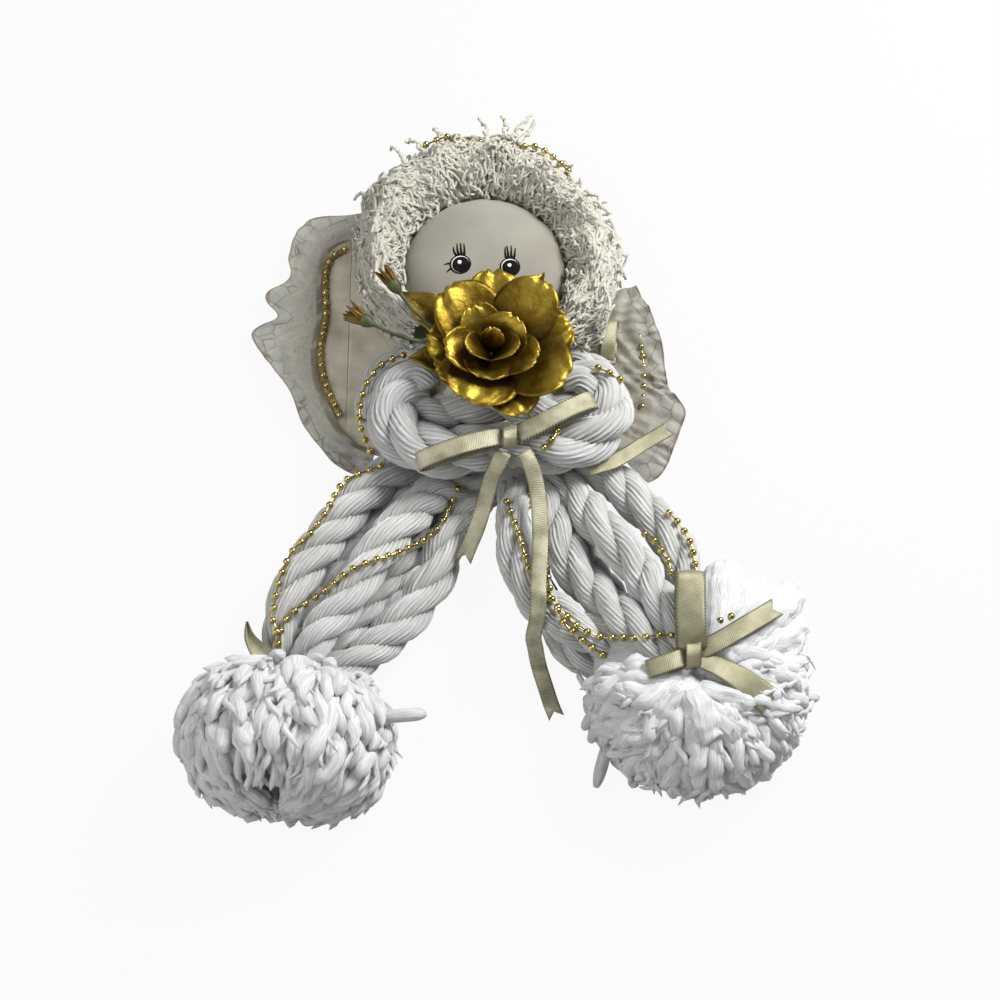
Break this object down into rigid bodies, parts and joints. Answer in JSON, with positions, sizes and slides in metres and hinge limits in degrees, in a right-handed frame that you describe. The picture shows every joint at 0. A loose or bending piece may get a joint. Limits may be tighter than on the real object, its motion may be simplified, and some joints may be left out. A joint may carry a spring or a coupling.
{
  "type": "yarn angel doll",
  "caption": "Soft angel doll on its back: stuffed head with yarn wig, cloth rose, twisted-rope legs that swing at the chest, pom-pom feet and lace wings that fold up.",
  "frame": {"origin": "middle of the doll's outline, on the surface that its back lies on", "axes": "+Z out of the front of the doll, +Y towards the head, +X to the viewer's right"},
  "size_m": [0.2647, 0.323, 0.0668],
  "materials": {
    "rope_yarn": "soft twisted yarn rope",
    "pompom_yarn": "frayed fluffy yarn",
    "wig_yarn": "crinkled looped yarn",
    "muslin": "plain woven cotton",
    "stuffing": "loose fibre stuffing",
    "card": "stiff card",
    "panel_cloth": "padded satin",
    "lace": "sheer gathered lace",
    "thread": "thick sewing thread",
    "gold_beads": "gold plated plastic beads",
    "gold_cloth": "stiffened gold foil cloth",
    "leaf_cloth": "stiffened dull gold cloth",
    "stem_wire": "wrapped wire",
    "ribbon": "metallic woven ribbon"
  },
  "bodies": {
    "torso": {"back_panel": "panel_cloth", "chest_stitch": "thread", "left_shoulder_rope": "rope_yarn", "right_shoulder_rope": "rope_yarn", "left_collar_rope": "rope_yarn", "right_collar_rope": "rope_yarn", "chest_knot": "rope_yarn", "head_disc": "card", "head_padding": "stuffing", "face_cover": "muslin", "hair_wig": "wig_yarn", "halo_beads": "gold_beads", "chest_beads": "gold_beads", "rose_stem": "stem_wire", "rose_calyx": "leaf_cloth", "rose_outer_petals": "gold_cloth", "rose_middle_petals": "gold_cloth", "rose_inner_petals": "gold_cloth", "rose_heart": "gold_cloth", "rose_leaves": "leaf_cloth", "bud_stems": "stem_wire", "bud_heads": "gold_cloth", "bow_left_loop": "ribbon", "bow_right_loop": "ribbon", "bow_knot": "ribbon", "side_ribbon": "ribbon", "side_bow": "ribbon"},
    "left_leg": {"left_hip_binding": "thread", "left_outer_rope": "rope_yarn", "left_middle_rope": "rope_yarn", "left_inner_rope": "rope_yarn", "left_back_rope": "rope_yarn", "left_ankle_binding": "thread", "left_ankle_ribbon": "ribbon", "left_ribbon_end": "ribbon", "left_pompom": "pompom_yarn", "left_outer_beads": "gold_beads", "left_cross_beads": "gold_beads", "bow_left_tail": "ribbon"},
    "right_leg": {"right_hip_binding": "thread", "right_outer_rope": "rope_yarn", "right_middle_rope": "rope_yarn", "right_inner_rope": "rope_yarn", "right_front_rope": "rope_yarn", "right_back_rope": "rope_yarn", "right_ankle_binding": "thread", "right_pompom": "pompom_yarn", "ankle_bow_loops": "ribbon", "ankle_bow_tails": "ribbon", "right_outer_beads": "gold_beads", "right_front_beads": "gold_beads", "right_inner_beads": "gold_beads", "bow_right_tail": "ribbon"},
    "left_wing": {"left_wing_panel": "panel_cloth", "left_wing_lace": "lace", "left_wing_beads": "gold_beads"},
    "right_wing": {"right_wing_panel": "panel_cloth", "right_wing_lace": "lace", "right_wing_beads": "gold_beads"}
  },
  "joints": [
    {"name": "left_leg_swing", "type": "hinge", "parent": "torso", "child": "left_leg", "pos_m": [0.004, 0, 0.0074], "axis": [0, 0, 1], "range_deg": [-10, 4]},
    {"name": "right_leg_swing", "type": "hinge", "parent": "torso", "child": "right_leg", "pos_m": [0.004, 0, 0.0158], "axis": [0, 0, 1], "range_deg": [-4, 8]},
    {"name": "left_wing_fold", "type": "hinge", "parent": "torso", "child": "left_wing", "pos_m": [-0.072, 0.068, 0.003], "axis": [0, 1, 0], "range_deg": [0, 30]},
    {"name": "right_wing_fold", "type": "hinge", "parent": "torso", "child": "right_wing", "pos_m": [0.064, 0.044, 0.003], "axis": [0, -1, 0], "range_deg": [0, 30]}
  ]
}
